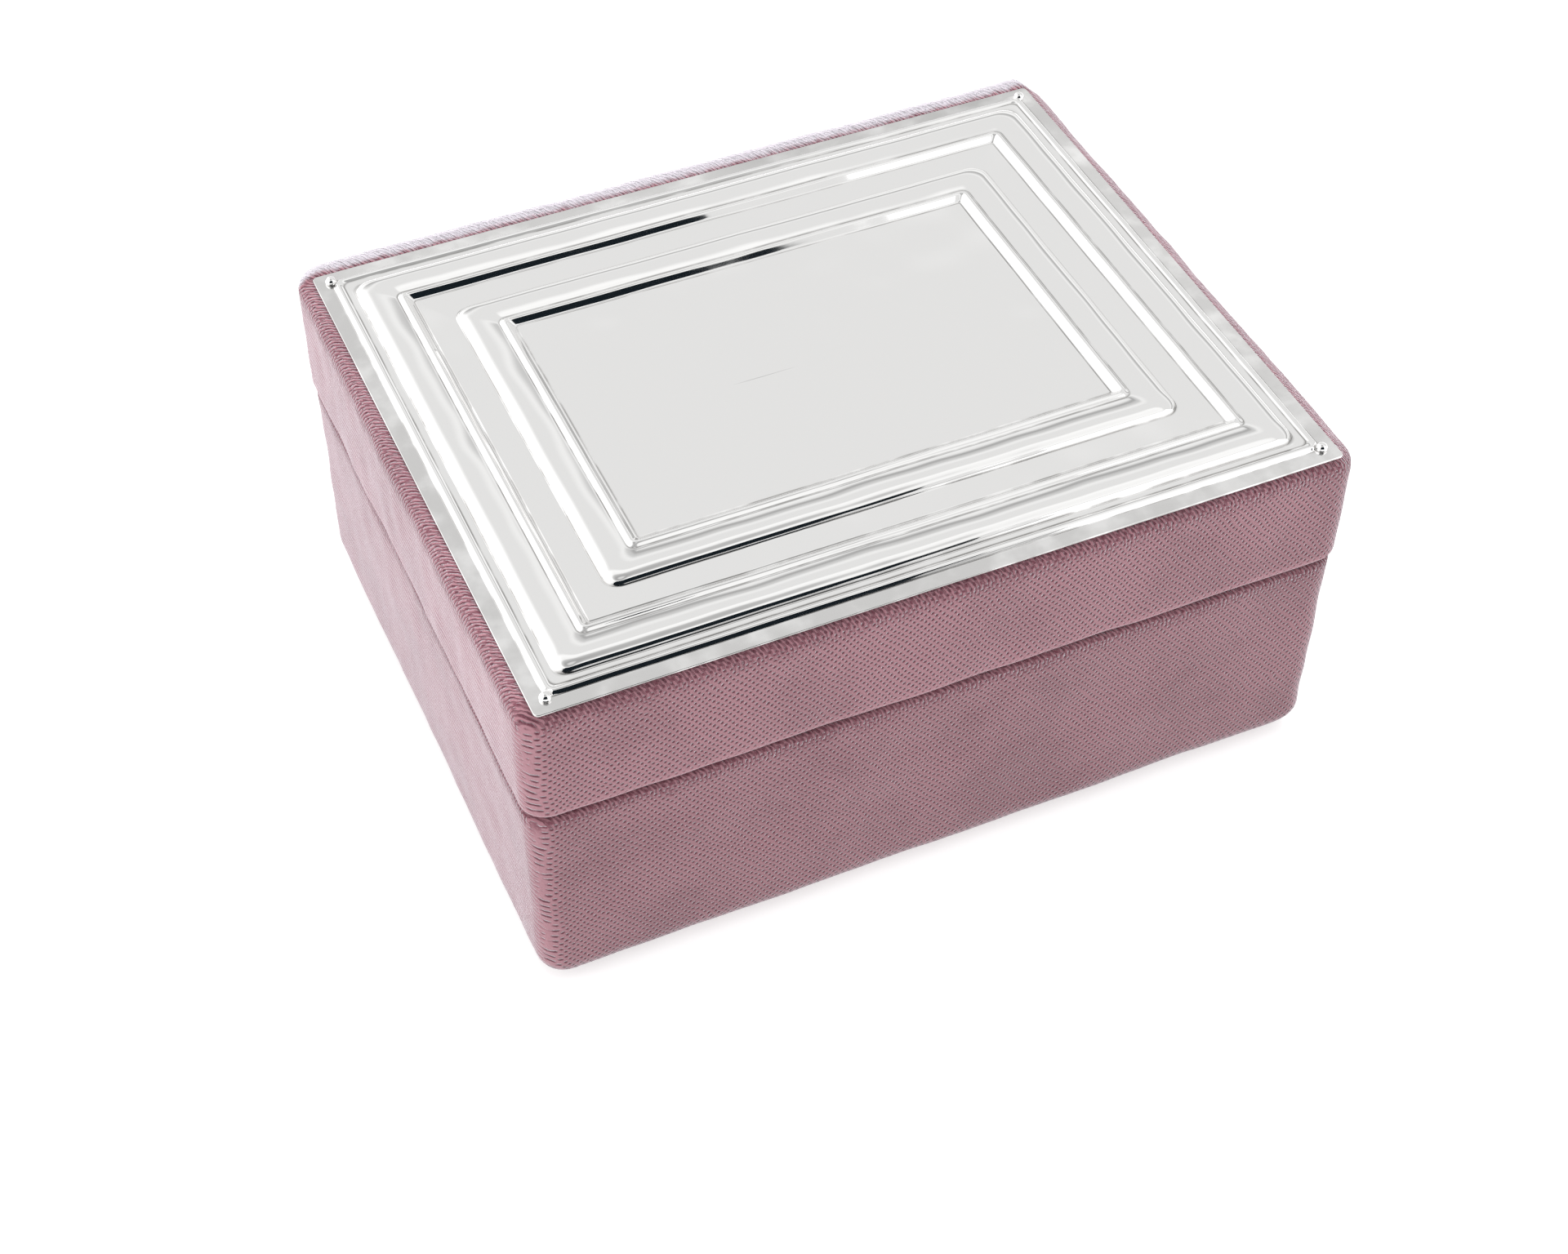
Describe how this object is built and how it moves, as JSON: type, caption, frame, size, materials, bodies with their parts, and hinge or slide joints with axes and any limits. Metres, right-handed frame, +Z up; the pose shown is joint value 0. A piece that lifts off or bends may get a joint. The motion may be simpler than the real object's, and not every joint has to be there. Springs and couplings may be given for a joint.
{
  "type": "jewelry box",
  "caption": "Rectangular velvet-covered wooden jewelry box with a hinged lid, a stamped silver plate nailed on top, lined compartments, ring rolls and a mirror in the lid.",
  "frame": {"origin": "centre of the underside, on the surface that the box rests on", "axes": "+X along the long side to the viewer's right, +Y to the hinged back side, +Z up"},
  "size_m": [0.1676, 0.1351, 0.0808],
  "materials": {
    "velvet": "dusty pink cotton velvet with a fine diagonal ground weave, short pile, soft sheen",
    "felt": "flat pressed felt",
    "board": "raw light plywood, hidden",
    "silver": "polished silver, mirror smooth, fine handling scratches",
    "backing": "cast grey filler, hidden",
    "lining": "short-nap suede-like lining cloth glued over card",
    "padded_lining": "short-nap suede-like lining cloth over foam",
    "brass": "polished brass",
    "mirror": "silvered glass with a polished edge"
  },
  "bodies": {
    "base": {"base_velvet": "velvet", "base_felt": "felt", "base_left_board": "board", "base_right_board": "board", "base_front_board": "board", "base_back_board": "board", "base_floor_board": "board", "base_floor_lining": "lining", "base_left_lining": "lining", "base_right_lining": "lining", "base_front_lining": "lining", "base_back_lining": "lining", "long_divider": "lining", "cross_divider": "lining", "ring_bed": "padded_lining", "ring_roll_1": "padded_lining", "ring_roll_2": "padded_lining", "ring_roll_3": "padded_lining", "ring_roll_4": "padded_lining", "ring_roll_5": "padded_lining", "ring_roll_6": "padded_lining", "ring_roll_7": "padded_lining", "hinge_left_base_leaf": "brass", "hinge_left_pin": "brass", "hinge_left_base_screw_1": "brass", "hinge_left_base_screw_2": "brass", "hinge_right_base_leaf": "brass", "hinge_right_pin": "brass", "hinge_right_base_screw_1": "brass", "hinge_right_base_screw_2": "brass"},
    "lid": {"lid_velvet": "velvet", "lid_left_board": "board", "lid_right_board": "board", "lid_front_board": "board", "lid_back_board": "board", "lid_top_board": "board", "lid_left_lining": "lining", "lid_right_lining": "lining", "lid_front_lining": "lining", "lid_back_lining": "lining", "mirror_frame": "padded_lining", "mirror": "mirror", "silver_plate": "silver", "plate_backing": "backing", "plate_nail_front_left": "silver", "plate_nail_front_right": "silver", "plate_nail_back_left": "silver", "plate_nail_back_right": "silver", "hinge_left_lid_leaf": "brass", "hinge_left_lid_screw_1": "brass", "hinge_left_lid_screw_2": "brass", "hinge_right_lid_leaf": "brass", "hinge_right_lid_screw_1": "brass", "hinge_right_lid_screw_2": "brass"}
  },
  "joints": [
    {"name": "lid_hinge", "type": "hinge", "parent": "base", "child": "lid", "pos_m": [0, 0.0669, 0.05015], "axis": [-1, 0, 0], "range_deg": [0, 95]}
  ]
}
